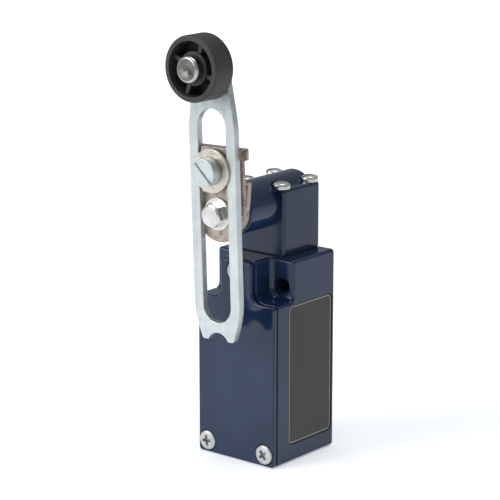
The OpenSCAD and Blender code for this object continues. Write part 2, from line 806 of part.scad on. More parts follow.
// Bridge across both tips of one contact
module bridge(z) {
    translate([-bridge_hw, head_cy - 2.5, z]) cube([2 * bridge_hw, 5, bridge_t]);
}

module break_bridge() {
    color([0.82, 0.70, 0.40]) bridge(break_bridge_z);
}

module make_bridge() {
    color([0.82, 0.70, 0.40]) bridge(make_bridge_z);
}

module contact_springs() {
    color([0.75, 0.75, 0.74]) translate([0, head_cy, 0]) {
        coil(1.5, 0.2, break_bridge_z - 3.4, break_bridge_z, 4);
        coil(1.5, 0.2, make_bridge_z + bridge_t, make_bridge_z + bridge_t + 3.4, 4);
    }
}

module return_spring() {
    color([0.75, 0.75, 0.74]) translate([0, head_cy, 0]) coil(2.2, 0.25, chute_z0, carrier_z0, 4);
}

housing();
front_cover();
cover_gasket();
cover_screws();
type_label();
earth_screw();
head_housing();
head_gasket();
head_screws();
shaft_seal();
front_bush();
rear_bush();
shaft();
cam();
cam_pin();
retaining_ring();
toothed_hub();
lever_hub();
hub_washer();
hub_bolt();
clamp_washer();
clamp_spring_washer();
clamp_screw();
lever();
roller_pin();
roller_washer();
roller();
tappet_guide();
tappet();
tappet_spring();
contact_base();
contact_lid();
block_screws();
break_terminals();
make_terminals();
terminal_clamps();
terminal_screws();
contact_carrier();
break_bridge();
make_bridge();
contact_springs();
return_spring();
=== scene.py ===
# Limit switch: die-cast housing, swivelling head and a slotted roller lever.
# Shapes are made in millimetres and become metres as each piece is finished.

import json
import math

import bmesh
import bpy
from mathutils import Matrix, Vector

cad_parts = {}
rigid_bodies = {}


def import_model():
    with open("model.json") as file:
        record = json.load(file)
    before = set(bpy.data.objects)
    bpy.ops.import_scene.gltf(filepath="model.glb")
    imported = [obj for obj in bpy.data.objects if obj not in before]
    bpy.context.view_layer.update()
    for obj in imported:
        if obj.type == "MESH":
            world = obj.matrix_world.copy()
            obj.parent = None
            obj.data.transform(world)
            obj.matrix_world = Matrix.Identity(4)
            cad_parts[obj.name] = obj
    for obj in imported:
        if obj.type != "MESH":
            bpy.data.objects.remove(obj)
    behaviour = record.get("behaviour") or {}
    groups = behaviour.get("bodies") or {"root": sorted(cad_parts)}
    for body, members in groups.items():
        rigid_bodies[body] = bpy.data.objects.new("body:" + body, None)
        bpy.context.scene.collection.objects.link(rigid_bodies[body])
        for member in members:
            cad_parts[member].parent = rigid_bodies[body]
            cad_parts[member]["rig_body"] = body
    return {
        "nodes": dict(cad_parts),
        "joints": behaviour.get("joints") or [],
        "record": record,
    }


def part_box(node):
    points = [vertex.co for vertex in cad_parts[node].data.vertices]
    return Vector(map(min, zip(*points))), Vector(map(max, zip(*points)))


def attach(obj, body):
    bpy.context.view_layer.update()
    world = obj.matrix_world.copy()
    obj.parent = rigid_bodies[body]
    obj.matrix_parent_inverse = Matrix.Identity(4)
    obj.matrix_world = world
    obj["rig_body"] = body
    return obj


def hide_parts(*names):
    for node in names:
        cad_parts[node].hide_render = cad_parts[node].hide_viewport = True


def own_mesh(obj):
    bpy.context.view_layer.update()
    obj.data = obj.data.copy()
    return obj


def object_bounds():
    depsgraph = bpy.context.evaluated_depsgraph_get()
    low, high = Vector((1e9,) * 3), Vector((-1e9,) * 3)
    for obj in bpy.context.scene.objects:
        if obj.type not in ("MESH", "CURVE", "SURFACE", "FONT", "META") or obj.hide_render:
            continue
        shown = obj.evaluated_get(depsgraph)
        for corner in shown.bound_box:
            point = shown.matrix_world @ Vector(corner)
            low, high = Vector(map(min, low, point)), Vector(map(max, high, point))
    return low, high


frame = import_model()
sizeLow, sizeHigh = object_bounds()
cadNodes = frame["nodes"]
slotOf = {part["node"]: part["material_slot"] for part in frame["record"]["subparts"]}
jointOf = {joint["name"]: joint for joint in frame["joints"]}
millimetre = 0.001
print("loaded", len(cadNodes), "cad nodes")


def cadBox(node):
    # lowest and highest corner at rest, in millimetres
    low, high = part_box(node)
    return low / millimetre, high / millimetre


shaftSpot = Vector(jointOf["lever_turn"]["pos_m"]) / millimetre
leverUp = Vector(jointOf["lever_length"]["axis"])
leverLean = math.atan2(leverUp.x, leverUp.z)
onShaft = Matrix.Translation((0, 0, shaftSpot.z))
onLever = onShaft @ Matrix.Rotation(leverLean, 4, "Y")
facingFront = Matrix.Rotation(math.radians(90), 4, "X")   # turns +Z towards the front, -Y


def outline(corners):
    # a face in X and Z from (x, z, rounding) corners
    mesh = bmesh.new()
    made = [(mesh.verts.new((x, 0, z)), rounding) for x, z, rounding in corners]
    mesh.faces.new([vert for vert, rounding in made])
    for vert, rounding in made:
        if rounding:
            arms = [edge.other_vert(vert).co - vert.co for edge in vert.link_edges]
            reach = rounding / math.tan(arms[0].angle(arms[1]) / 2)
            bmesh.ops.bevel(mesh, geom=[vert], affect="VERTICES", offset=reach,
                            offset_type="OFFSET", segments=3 + int(rounding * 2.6),
                            profile=0.5, material=-1)
    return mesh


def mirroredOutline(side):
    # the right side's corners from the bottom up, and the same on the left
    return outline(side + [(-x, z, rounding) for x, z, rounding in reversed(side)])


def rectangle(left, low, right, high, rounding):
    return outline([(left, low, rounding), (right, low, rounding),
                    (right, high, rounding), (left, high, rounding)])


def movedVerts(extruded):
    return [item for item in extruded["geom"] if isinstance(item, bmesh.types.BMVert)]


def raised(mesh, back, front):
    grown = bmesh.ops.extrude_face_region(mesh, geom=mesh.faces[:])
    bmesh.ops.translate(mesh, vec=(0, front - back, 0), verts=movedVerts(grown))
    bmesh.ops.translate(mesh, vec=(0, back, 0), verts=mesh.verts)
    bmesh.ops.recalc_face_normals(mesh, faces=mesh.faces)
    return mesh


def block(low, high):
    low, high = Vector(low), Vector(high)
    mesh = bmesh.new()
    bmesh.ops.create_cube(mesh, size=1)
    bmesh.ops.scale(mesh, vec=high - low, verts=mesh.verts)
    bmesh.ops.translate(mesh, vec=(low + high) / 2, verts=mesh.verts)
    return mesh


def rod(radius, start, end, steps=48, endRadius=None):
    start, end = Vector(start), Vector(end)
    mesh = bmesh.new()
    bmesh.ops.create_cone(mesh, cap_ends=True, segments=steps, radius1=radius,
                          radius2=radius if endRadius is None else endRadius,
                          depth=(end - start).length)
    turn = (end - start).to_track_quat("Z", "Y").to_matrix().to_4x4()
    return placed(mesh, Matrix.Translation((start + end) / 2) @ turn)


def turned(profile, steps=64):
    # (radius, height) points spun round Z
    mesh = bmesh.new()
    line = [mesh.verts.new((radius, 0, height)) for radius, height in profile]
    edges = [mesh.edges.new(pair) for pair in zip(line, line[1:])]
    if profile[0][0] > 0 and profile[-1][0] > 0:
        edges.append(mesh.edges.new((line[-1], line[0])))
    bmesh.ops.spin(mesh, geom=line + edges, cent=(0, 0, 0), axis=(0, 0, 1), angle=math.tau,
                   steps=steps, use_merge=True)
    bmesh.ops.remove_doubles(mesh, verts=mesh.verts, dist=1e-4)
    bmesh.ops.recalc_face_normals(mesh, faces=mesh.faces)
    return mesh


def edgesIn(axis, low=-math.inf, high=math.inf):
    # picks the edges that lie wholly between two places along an axis
    return lambda edge: all(low < getattr(vert.co, axis) < high for vert in edge.verts)


def soften(mesh, width, segments=3, sharpness=35, chosen=None, held=False):
    limit = math.radians(sharpness)
    edges = [edge for edge in mesh.edges if edge.is_manifold
             and edge.calc_face_angle_signed(0) > limit and (chosen is None or chosen(edge))]
    bmesh.ops.bevel(mesh, geom=edges, affect="EDGES", offset=width, offset_type="OFFSET",
                    segments=segments, profile=0.5, material=-1, clamp_overlap=held)
    return mesh


def placed(mesh, matrix):
    bmesh.ops.transform(mesh, matrix=matrix, verts=mesh.verts)
    return mesh


def asData(mesh, name):
    data = bpy.data.meshes.new(name)
    mesh.to_mesh(data)
    mesh.free()
    return data


def joined(meshes):
    whole = bmesh.new()
    for mesh in meshes:
        data = asData(mesh, "joined")
        whole.from_mesh(data)
        bpy.data.meshes.remove(data)
    return whole


def loose(mesh):
    tool = bpy.data.objects.new("tool", asData(mesh, "tool"))
    bpy.context.scene.collection.objects.link(tool)
    return tool


def carved(mesh, tools, operation="DIFFERENCE"):
    base = loose(mesh)
    helpers = [loose(tool) for tool in tools]
    for helper in helpers:
        change = base.modifiers.new("carve", "BOOLEAN")
        change.operation = operation
        change.solver = "EXACT"
        change.object = helper
    bpy.context.view_layer.update()
    result = bmesh.new()
    result.from_object(base, bpy.context.evaluated_depsgraph_get())
    for item in [base] + helpers:
        data = item.data
        bpy.data.objects.remove(item)
        bpy.data.meshes.remove(data)
    bmesh.ops.remove_doubles(result, verts=result.verts, dist=1e-4)
    return result


class Wire:
    # one socket of a finish's node tree; arithmetic on it adds Math nodes
    def __init__(self, finish, socket):
        self.finish = finish
        self.socket = socket

    def math(self, operation, *values):
        return self.finish.node("Math", {"operation": operation}, dict(enumerate(values)))

    def __add__(self, other): return self.math("ADD", self, other)
    def __radd__(self, other): return self.math("ADD", other, self)
    def __sub__(self, other): return self.math("SUBTRACT", self, other)
    def __rsub__(self, other): return self.math("SUBTRACT", other, self)
    def __mul__(self, other): return self.math("MULTIPLY", self, other)
    def __rmul__(self, other): return self.math("MULTIPLY", other, self)

    def between(self, low, high):
        # 0 below low, 1 above high, eased in between
        return self.finish.node("MapRange", {"interpolation_type": "SMOOTHSTEP"},
                                {"Value": self, "From Min": low, "From Max": high})


class Finish:
    # the nodes of a material, or of the world
    def __init__(self, owner, coords="Object"):
        self.owner = owner
        owner.use_nodes = True
        self.tree = owner.node_tree
        self.tree.nodes.clear()
        self.coords = self.node("TexCoord", output=coords)

    def node(self, kind, settings=None, sockets=None, output=0):
        made = self.tree.nodes.new("ShaderNode" + kind)
        for name, value in (settings or {}).items():
            setattr(made, name, value)
        for name, value in (sockets or {}).items():
            if isinstance(value, Wire):
                self.tree.links.new(value.socket, made.inputs[name])
            else:
                made.inputs[name].default_value = value
        return Wire(self, made.outputs[output]) if made.outputs else made

    def along(self, axis):
        # the place along X, Y or Z, as 0, 1 or 2
        return self.node("SeparateXYZ", None, {"Vector": self.coords}, axis)

    def noise(self, scale, detail=3.0, roughness=0.5, stretch=None):
        place = self.coords
        if stretch:
            place = self.node("Mapping", None, {"Vector": place, "Scale": stretch})
        return self.node("TexNoise", None, {"Vector": place, "Scale": scale, "Detail": detail,
                                            "Roughness": roughness})

    def spangles(self, scale):
        return self.node("TexVoronoi", {"feature": "SMOOTH_F1"},
                         {"Vector": self.coords, "Scale": scale}, "Distance")

    def blend(self, factor, first, second):
        tints = [tint if isinstance(tint, Wire) else (*tint, 1) for tint in (first, second)]
        return self.node("Mix", {"data_type": "RGBA"}, {0: factor, 6: tints[0], 7: tints[1]}, 2)

    def bump(self, height, strength, distance, under=None):
        sockets = {"Height": height, "Strength": strength, "Distance": distance}
        if under:
            sockets["Normal"] = under
        return self.node("Bump", None, sockets)

    def close(self, **values):
        names = {"colour": "Base Color", "roughness": "Roughness", "metallic": "Metallic",
                 "normal": "Normal", "specularTint": "Specular Tint",
                 "specular": "Specular IOR Level", "glow": "Emission Color",
                 "glowStrength": "Emission Strength"}
        sockets = {names[name]: value for name, value in values.items()}
        surface = self.node("BsdfPrincipled", None, sockets)
        self.node("OutputMaterial", None, {"Surface": surface})
        return self.owner


def newFinish(name):
    return Finish(bpy.data.materials.new(name))


def enamelFinish():
    look = {"deep": (0.006, 0.017, 0.052), "light": (0.011, 0.026, 0.074),
            "dust": (0.06, 0.09, 0.14), "gloss": 0.10, "haze": (0.93, 0.96, 1.0, 1),
            "shine": 0.46, "cloudScale": 42, "peelScale": 520, "grainScale": 2400,
            "speckScale": 1900, "peel": 0.07, "grain": 0.05}
    paint = newFinish("navy enamel")
    cloud = paint.noise(look["cloudScale"], 4, 0.6)
    grain = paint.noise(look["grainScale"], 2)
    peel = paint.noise(look["peelScale"], 2, 0.4)
    specks = paint.noise(look["speckScale"], 1).between(0.74, 0.80)
    colour = paint.blend(cloud.between(0.35, 0.68), look["deep"], look["light"])
    colour = paint.blend(specks * 0.35, colour, look["dust"])
    relief = paint.bump(grain, look["grain"], 0.00004)
    relief = paint.bump(peel, look["peel"], 0.00016, relief)
    return paint.close(colour=colour, roughness=look["gloss"] + cloud * 0.08 + specks * 0.3,
                       specular=look["shine"], specularTint=look["haze"], normal=relief)


def platedFinish(name, look):
    look = {"grain": 500, "blotch": 0.12, "streak": 0.06, **look}
    plate = newFinish(name)
    cloud = plate.noise(look["cloud"], 4, 0.6)
    spangle = plate.spangles(look["spangle"])
    scratch = plate.noise(look["scratch"], 3, 0.6, look["lay"])
    pits = plate.noise(2600, 2).between(0.66, 0.76)
    blotch = plate.noise(look["grain"], 5, 0.65).between(0.47, 0.64)
    streak = plate.noise(650, 3, 0.6, look["lay"]).between(0.45, 0.75)
    colour = plate.blend(cloud.between(0.32, 0.70), look["tones"][0], look["tones"][1])
    colour = plate.blend(spangle.between(0.15, 0.75) * 0.35, colour, look["tones"][2])
    if "darkerAbove" in look:   # darker, duller and more blotched from this height up
        height = plate.along(2)
        darkFrom = look["darkerAbove"]
        blotch = blotch * (0.15 + height.between(darkFrom, darkFrom + 0.018) * 1.1)
        dulled = height.between(darkFrom - 0.012, darkFrom + 0.022) * 0.55
        colour = plate.blend(dulled, colour, look["dulled"])
    soiled = pits * 0.25 + blotch * look["blotch"] + streak * look["streak"]
    colour = plate.blend(soiled, colour, look["stain"])
    relief = plate.bump(scratch, look["relief"], 0.00006, plate.bump(spangle, 0.06, 0.00008))
    rough = look["rough"] + cloud * 0.12 + scratch.between(0.4, 0.75) * 0.10 + pits * 0.15
    return plate.close(colour=colour, roughness=rough, metallic=look["metal"], normal=relief)


def mouldedFinish(name, look):
    plastic = newFinish(name)
    cloud = plastic.noise(70, 4)
    spark = plastic.noise(1500, 3, 0.7)
    flow = plastic.noise(160, 3, 0.6, (1, 1, 0.25))
    colour = plastic.blend(cloud.between(0.3, 0.7), look["tones"][0], look["tones"][1])
    colour = plastic.blend(spark.between(0.62, 0.8) * 0.5, colour, look["tones"][2])
    relief = plastic.bump(spark, look["relief"], 0.00008, plastic.bump(flow, 0.05, 0.0002))
    return plastic.close(colour=colour, roughness=look["rough"] + cloud * 0.12, specular=0.36,
                         normal=relief)


def turnedFinish(name, look):
    metal = newFinish(name)
    rings = metal.noise(look["rings"], 3, 0.7, (0.12, 1, 0.12))
    cloud = metal.noise(160, 3)
    colour = metal.blend(cloud.between(0.3, 0.7), look["tones"][0], look["tones"][1])
    relief = metal.bump(rings, 0.15, 0.00005)
    return metal.close(colour=colour, roughness=look["rough"] + rings * 0.15, metallic=1.0,
                       normal=relief)


def foilFinish(name, look):
    foil = newFinish(name)
    weave = foil.noise(2200, 2)
    cloud = foil.noise(35, 4)
    colour = foil.blend(cloud.between(0.3, 0.7), look["tones"][0], look["tones"][1])
    relief = foil.bump(weave, 0.05, 0.00003)
    return foil.close(colour=colour, roughness=look["rough"] + cloud * 0.12 + weave * 0.05,
                      specular=0.38, normal=relief)


slotFinish = {
    "enamel": enamelFinish(),
    "zinc_lever": platedFinish("blue zinc plate", {
        "tones": [(0.56, 0.61, 0.615), (0.645, 0.69, 0.69), (0.51, 0.57, 0.58)],
        "stain": (0.24, 0.28, 0.28), "cloud": 90, "spangle": 420, "scratch": 900,
        "lay": (1, 1, 0.06), "relief": 0.22, "rough": 0.33, "metal": 0.88, "blotch": 0.60,
        "streak": 0.20, "darkerAbove": 0.050, "dulled": (0.28, 0.33, 0.335), "grain": 380}),
    "zinc_screws": platedFinish("matt zinc plate", {
        "tones": [(0.52, 0.53, 0.53), (0.64, 0.65, 0.64), (0.48, 0.49, 0.50)],
        "stain": (0.25, 0.25, 0.25), "cloud": 260, "spangle": 900, "scratch": 1400,
        "lay": (1, 1, 1), "relief": 0.2, "rough": 0.38, "metal": 0.9}),
    "bright_steel": platedFinish("bright nickel plate", {
        "tones": [(0.66, 0.665, 0.645), (0.78, 0.78, 0.755), (0.60, 0.60, 0.575)],
        "stain": (0.30, 0.29, 0.27), "cloud": 200, "spangle": 700, "scratch": 1800,
        "lay": (1, 1, 0.3), "relief": 0.10, "rough": 0.20, "metal": 1.0}),
    "yellow_zinc": platedFinish("yellow chromate", {
        "tones": [(0.60, 0.555, 0.45), (0.68, 0.62, 0.52), (0.56, 0.50, 0.46)],
        "stain": (0.34, 0.25, 0.16), "cloud": 130, "spangle": 500, "scratch": 1600,
        "lay": (1, 1, 0.4), "relief": 0.14, "rough": 0.27, "metal": 0.95}),
    "machined_steel": turnedFinish("turned steel", {
        "tones": [(0.46, 0.46, 0.47), (0.58, 0.58, 0.58)], "rings": 2600, "rough": 0.25}),
    "bronze": turnedFinish("sintered bronze", {
        "tones": [(0.52, 0.34, 0.15), (0.62, 0.42, 0.20)], "rings": 1500, "rough": 0.40}),
    "contact_brass": platedFinish("contact brass", {
        "tones": [(0.70, 0.54, 0.25), (0.78, 0.62, 0.32), (0.66, 0.48, 0.22)],
        "stain": (0.40, 0.26, 0.12), "cloud": 150, "spangle": 600, "scratch": 1500,
        "lay": (0.2, 1, 1), "relief": 0.1, "rough": 0.26, "metal": 1.0}),
    "roller_plastic": mouldedFinish("black moulding", {
        "tones": [(0.030, 0.029, 0.029), (0.046, 0.044, 0.044), (0.085, 0.081, 0.079)],
        "relief": 0.28, "rough": 0.44}),
    "block_plastic": mouldedFinish("block moulding", {
        "tones": [(0.035, 0.036, 0.040), (0.050, 0.052, 0.056), (0.09, 0.09, 0.09)],
        "relief": 0.15, "rough": 0.45}),
    "light_plastic": mouldedFinish("ivory moulding", {
        "tones": [(0.66, 0.63, 0.54), (0.74, 0.71, 0.63), (0.80, 0.78, 0.72)],
        "relief": 0.10, "rough": 0.40}),
    "label_foil": foilFinish("label foil", {
        "tones": [(0.030, 0.028, 0.025), (0.042, 0.040, 0.036)], "rough": 0.36}),
    "seal_rubber": mouldedFinish("seal rubber", {
        "tones": [(0.012, 0.012, 0.012), (0.020, 0.020, 0.020), (0.035, 0.035, 0.035)],
        "relief": 0.2, "rough": 0.6}),
}
hubFinish = platedFinish("rose chromate", {
    "tones": [(0.42, 0.35, 0.325), (0.50, 0.455, 0.41), (0.46, 0.31, 0.28)],
    "stain": (0.13, 0.085, 0.075), "cloud": 150, "spangle": 380, "scratch": 1500,
    "lay": (0.25, 1, 1), "relief": 0.25, "rough": 0.36, "metal": 0.88, "blotch": 0.5,
    "streak": 0.25})
washerFinish = platedFinish("straw chromate", {
    "tones": [(0.62, 0.60, 0.50), (0.72, 0.71, 0.64), (0.66, 0.56, 0.44)],
    "stain": (0.34, 0.27, 0.20), "cloud": 160, "spangle": 600, "scratch": 1600,
    "lay": (1, 1, 1), "relief": 0.12, "rough": 0.24, "metal": 0.98, "blotch": 0.35,
    "streak": 0.3})
springFinish = platedFinish("spring steel", {
    "tones": [(0.32, 0.33, 0.32), (0.46, 0.46, 0.45), (0.26, 0.26, 0.25)],
    "stain": (0.10, 0.10, 0.09), "cloud": 300, "spangle": 800, "scratch": 1600,
    "lay": (1, 1, 1), "relief": 0.2, "rough": 0.28, "metal": 0.95})
pinFinish = platedFinish("dull pin steel", {
    "tones": [(0.40, 0.395, 0.38), (0.58, 0.57, 0.55), (0.34, 0.335, 0.32)],
    "stain": (0.10, 0.09, 0.08), "cloud": 520, "spangle": 1100, "scratch": 1800,
    "lay": (1, 1, 1), "relief": 0.3, "rough": 0.22, "metal": 1.0})
dishFinish = platedFinish("pressed pin centre", {
    "tones": [(0.09, 0.095, 0.088), (0.27, 0.27, 0.25), (0.17, 0.155, 0.135)],
    "stain": (0.05, 0.048, 0.045), "cloud": 420, "spangle": 900, "scratch": 1500,
    "lay": (1, 1, 1), "relief": 0.4, "rough": 0.30, "metal": 0.9, "blotch": 0.4})
borderFinish = foilFinish("label border", {
    "tones": [(0.46, 0.46, 0.44), (0.54, 0.53, 0.51)], "rough": 0.38})
ownFinish = {"lever_hub": hubFinish, "toothed_hub": hubFinish, "clamp_washer": washerFinish,
             "clamp_spring_washer": springFinish, "roller_pin": pinFinish}


def finishOf(node):
    return ownFinish.get(node) or slotFinish[slotOf[node]]


for name, node in cadNodes.items():
    node.data.materials.clear()
    node.data.materials.append(finishOf(name))
print("finishes on", len(cadNodes), "cad nodes")


def finished(name, mesh, node, creases=32, extra=()):
    bmesh.ops.scale(mesh, vec=(millimetre,) * 3, verts=mesh.verts)
    data = asData(mesh, name)
    data.shade_smooth()
    data.set_sharp_from_angle(angle=math.radians(creases))
    for material in (finishOf(node), *extra):
        data.materials.append(material)
    piece = bpy.data.objects.new(name, data)
    bpy.context.scene.collection.objects.link(piece)
    piece.modifiers.new("even normals", "WEIGHTED_NORMAL").keep_sharp = True
    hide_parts(node)
    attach(piece, cadNodes[node]["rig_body"])
    return piece


# where the housing, head and label are, and the screws that hold them
housing = {"spineHalf": 6.4, "ledge": -4.5, "recessBack": -20.4, "stepRounding": 3.5,
           "recessRounding": 1.7, "edge": 1.0, "backEdge": 0.35, "seam": 0.3, "rebate": 0.45,
           "rebateDepth": 0.35, "headMiddle": -9.4, "screwHole": 1.56, "headScrew": 7,
           "headScrewDepth": 5.6, "coverScrewSide": 11.3, "coverScrewLow": 3.9,
           "coverScrewHigh": 3.6, "coverScrewEnd": -19,
           "slotHalf": 10.5, "slotLength": 5.3, "slotWidth": 4.3, "slotSink": 0.7,
           "slotSinkDepth": 0.25,
           "pocket": 0.35, "pocketGap": 0.12}
room = {"half": 12.6, "low": 8, "high": -6.7, "wall": 2.4, "rounding": 1.5, "sealHalf": 13.6,
        "sealLow": 7, "sealHigh": -5.7, "sealDepth": 0.5, "wellLow": (-4.4, -17, -8),
        "wellHigh": (4.4, -2.4, 5.9), "tappetBore": 5.02, "tappetTop": 12,
        "blockScrews": ((-8.8, -23), (8.8, -23)), "earthScrew": (-8.4, -43),
        "wallHole": (-3.4, -0.6), "post": 3.2, "postBack": 2.35, "postFront": 8}
entry = {"radius": 9.2, "middle": -15, "depth": 9.0, "pitch": 1.5, "threadDepth": 0.5,
         "threadFrom": 1.2, "threadTo": 7.2, "flare": 0.9}
label = {"corner": 2.0, "margin": 0.55, "line": 0.16}
labelLow, labelHigh = cadBox("type_label")
houseLow, houseHigh = cadBox("housing")
headLow, headHigh = cadBox("head_housing")
headMiddle = housing["headMiddle"]
coverSpots = [(-housing["coverScrewSide"], houseLow.z + housing["coverScrewLow"]),
              (housing["coverScrewSide"], houseLow.z + housing["coverScrewLow"]),
              (0, houseHigh.z - housing["coverScrewHigh"])]
headSpots = [(x, headMiddle + y) for x in (-housing["headScrew"], housing["headScrew"])
             for y in (-housing["headScrew"], housing["headScrew"])]
near = 0.01   # finds the edges at a plane
past = 9      # takes a tool well out of the body


def recess(side):
    # cuts one upper corner away down to the ledge, with rounded inner edges
    outer = houseHigh.x + 7
    made = outline([(side * housing["spineHalf"], housing["ledge"], housing["stepRounding"]),
                    (side * outer, housing["ledge"], 0), (side * outer, houseHigh.z + past, 0),
                    (side * housing["spineHalf"], houseHigh.z + past, 0)])
    raised(made, housing["recessBack"], houseLow.y - past)
    deep = edgesIn("y", low=housing["recessBack"] - near)
    return soften(made, housing["recessRounding"], 5, 20,
                  lambda edge: deep(edge)
                  and min(abs(vert.co.x) for vert in edge.verts) < outer - 1
                  and min(vert.co.z for vert in edge.verts) < houseHigh.z + past - 1)


def longHole(x, length, width, back, front):
    half = width / 2
    return raised(rectangle(x - length / 2, -half, x + length / 2, half, half * 0.999), back, front)


def labelPlate(grow, inner, outer):
    # the label's outline, made larger by grow, between two X positions
    made = raised(rectangle(labelLow.y - grow, labelLow.z - grow, labelHigh.y + grow,
                            labelHigh.z + grow, label["corner"] + grow), inner, outer)
    placed(made, Matrix(((0, 1, 0, 0), (1, 0, 0, 0), (0, 0, 1, 0), (0, 0, 0, 1))))
    bmesh.ops.recalc_face_normals(made, faces=made.faces)
    return made


def entryThread():
    radius, bottom = entry["radius"], houseLow.z
    profile = [(0, bottom - 1), (radius + entry["flare"], bottom - 1),
               (radius + entry["flare"], bottom), (radius + 0.1, bottom + 0.8)]
    height = bottom + entry["threadFrom"]
    while height < bottom + entry["threadTo"]:
        profile += [(radius, height), (radius + entry["threadDepth"], height + 0.65),
                    (radius, height + 1.3)]
        height += entry["pitch"]
    profile += [(radius, bottom + entry["depth"]), (0, bottom + entry["depth"])]
    return placed(turned(profile, 72), Matrix.Translation((0, entry["middle"], 0)))


seamSpot = houseLow.y + housing["rebate"]
atSeam = edgesIn("y", high=seamSpot + near)
atBack = edgesIn("y", low=-near)
body = carved(block((houseLow.x, seamSpot, houseLow.z), houseHigh), [recess(1), recess(-1)])
soften(body, housing["edge"], 4, 50, lambda edge: not atSeam(edge) and not atBack(edge))
soften(body, housing["backEdge"], 2, 50, atBack)
soften(body, housing["seam"], 2, 50, atSeam)
rimFaces = [face for face in body.faces if face.normal.y < -0.99
            and face.calc_center_median().y < seamSpot + near]
bmesh.ops.inset_region(body, faces=rimFaces, thickness=housing["rebateDepth"],
                       use_even_offset=True)
raisedRim = bmesh.ops.extrude_face_region(body, geom=rimFaces)
bmesh.ops.translate(body, vec=(0, -housing["rebate"], 0), verts=movedVerts(raisedRim))
bmesh.ops.delete(body, geom=[face for face in rimFaces if face.is_valid], context="FACES_ONLY")
tools = [soften(block((-room["half"], houseLow.y - 1, houseLow.z + room["low"]),
                      (room["half"], -room["wall"], room["high"])), room["rounding"], 4),
         block((-room["sealHalf"], houseLow.y - 1, houseLow.z + room["sealLow"]),
               (room["sealHalf"], houseLow.y + room["sealDepth"], room["sealHigh"])),
         block(room["wellLow"], room["wellHigh"]),
         rod(room["tappetBore"], (0, headMiddle, 0), (0, headMiddle, room["tappetTop"])),
         entryThread(),
         labelPlate(housing["pocketGap"], houseHigh.x - housing["pocket"], houseHigh.x + 2)]
clear = -24   # in front of the recesses' floor
for x in (-housing["slotHalf"], housing["slotHalf"]):
    tools.append(longHole(x, housing["slotLength"], housing["slotWidth"], 1, clear))
    tools.append(longHole(x, housing["slotLength"] + housing["slotSink"],
                          housing["slotWidth"] + housing["slotSink"],
                          housing["recessBack"] + housing["slotSinkDepth"], clear))
for x, z in coverSpots:
    tools.append(rod(housing["screwHole"], (x, houseLow.y - 1, z),
                     (x, housing["coverScrewEnd"], z)))
for x, y in headSpots:
    tools.append(rod(housing["screwHole"], (x, y, houseHigh.z - housing["headScrewDepth"]),
                     (x, y, houseHigh.z + 2)))
holeFront, holeBack = room["wallHole"]
for x, z in (*room["blockScrews"], room["earthScrew"]):
    tools.append(rod(housing["screwHole"], (x, holeFront, z), (x, holeBack, z), 24))
body = carved(body, tools)
post = turned([(housing["screwHole"], room["postBack"]), (room["post"], room["postBack"]),
               (room["post"], room["postFront"]), (housing["screwHole"], room["postFront"])], 36)
earthX, earthZ = room["earthScrew"]
placed(post, Matrix.Translation((earthX, 0, earthZ)) @ facingFront)
finished("housing_shell", joined([body, post]), "housing")

cover = {"spineHalf": 6.0, "corner": 1.2, "step": 3.5, "lip": 0.55, "backLip": 0.34,
         "hole": 1.66, "sink": 1.3, "sinkRadius": 3.35, "sinkFlare": 1.15, "flareDepth": 0.26}
coverLow, coverHigh = cadBox("front_cover")
plate = raised(mirroredOutline([
    (coverHigh.x, coverLow.z, cover["corner"]), (coverHigh.x, housing["ledge"], cover["corner"]),
    (cover["spineHalf"], housing["ledge"], cover["step"]),
    (cover["spineHalf"], coverHigh.z, cover["corner"])]), coverHigh.y, coverLow.y)
soften(plate, cover["lip"], 4, 20, edgesIn("y", high=coverLow.y + near))
soften(plate, cover["backLip"], 2, 20, edgesIn("y", low=coverHigh.y - near))
tools = []
for x, z in coverSpots:
    tools.append(rod(cover["hole"], (x, coverLow.y - 2, z), (x, coverHigh.y + 2, z)))
    tools.append(rod(cover["sinkRadius"], (x, coverLow.y - 2, z),
                     (x, coverLow.y + cover["sink"], z), 64))
    tools.append(rod(cover["sinkRadius"] + cover["sinkFlare"], (x, coverLow.y - 1, z),
                     (x, coverLow.y + cover["flareDepth"], z), 64, cover["sinkRadius"] - 0.11))
finished("cover_plate", carved(plate, tools), "front_cover")
print("cover")


def crossTool(size, width, depth):
    tools = []
    for turn in (0, 90):
        arm = block((-size / 2, -width / 2, -depth), (size / 2, width / 2, 2))
        low = [vert for vert in arm.verts if vert.co.z < 0]
        bmesh.ops.scale(arm, vec=(0.62, 0.7, 1), verts=low)
        tools.append(placed(arm, Matrix.Rotation(math.radians(turn), 4, "Z")))
    tools.append(rod(width * 0.62, (0, 0, -depth * 0.9), (0, 0, 1), 20, width * 0.9))
    return tools


def screw(style):
    # a domed head standing on Z = 0, with a cross recess, and its shank below
    radius, height, shank, end = style["head"], style["height"], style["shank"], -style["length"]
    profile = [(0, height), (radius * 0.55, height), (radius * 0.86, height - style["dome"] * 0.14),
               (radius, height - style["dome"] * 0.45), (radius, 0), (shank, 0),
               (shank, end + 0.4), (shank - 0.4, end), (0, end)]
    made = soften(turned(profile, 48), 0.16, 2, 16, edgesIn("z", low=0.1))
    onTop = Matrix.Translation((0, 0, height))
    tools = [placed(tool, onTop) for tool in crossTool(*style["cross"])]
    if "slot" in style:
        made = carved(made, tools)
        tools = [block((-4, -style["slot"] / 2, height - style["slotDepth"]),
                       (4, style["slot"] / 2, 4))]
    return carved(made, tools)


coverScrew = {"head": 3.1, "height": 2.0, "dome": 1.1, "shank": 1.5, "length": 8,
              "cross": (4.3, 1.15, 1.5), "turns": (8, 38, 20)}
screws = []
for turn, (x, z) in zip(coverScrew["turns"], coverSpots):
    spot = Matrix.Translation((x, coverLow.y + cover["sink"], z)) @ facingFront
    screws.append(placed(screw(coverScrew), spot @ Matrix.Rotation(math.radians(turn), 4, "Z")))
finished("cover_screw_set", joined(screws), "cover_screws")

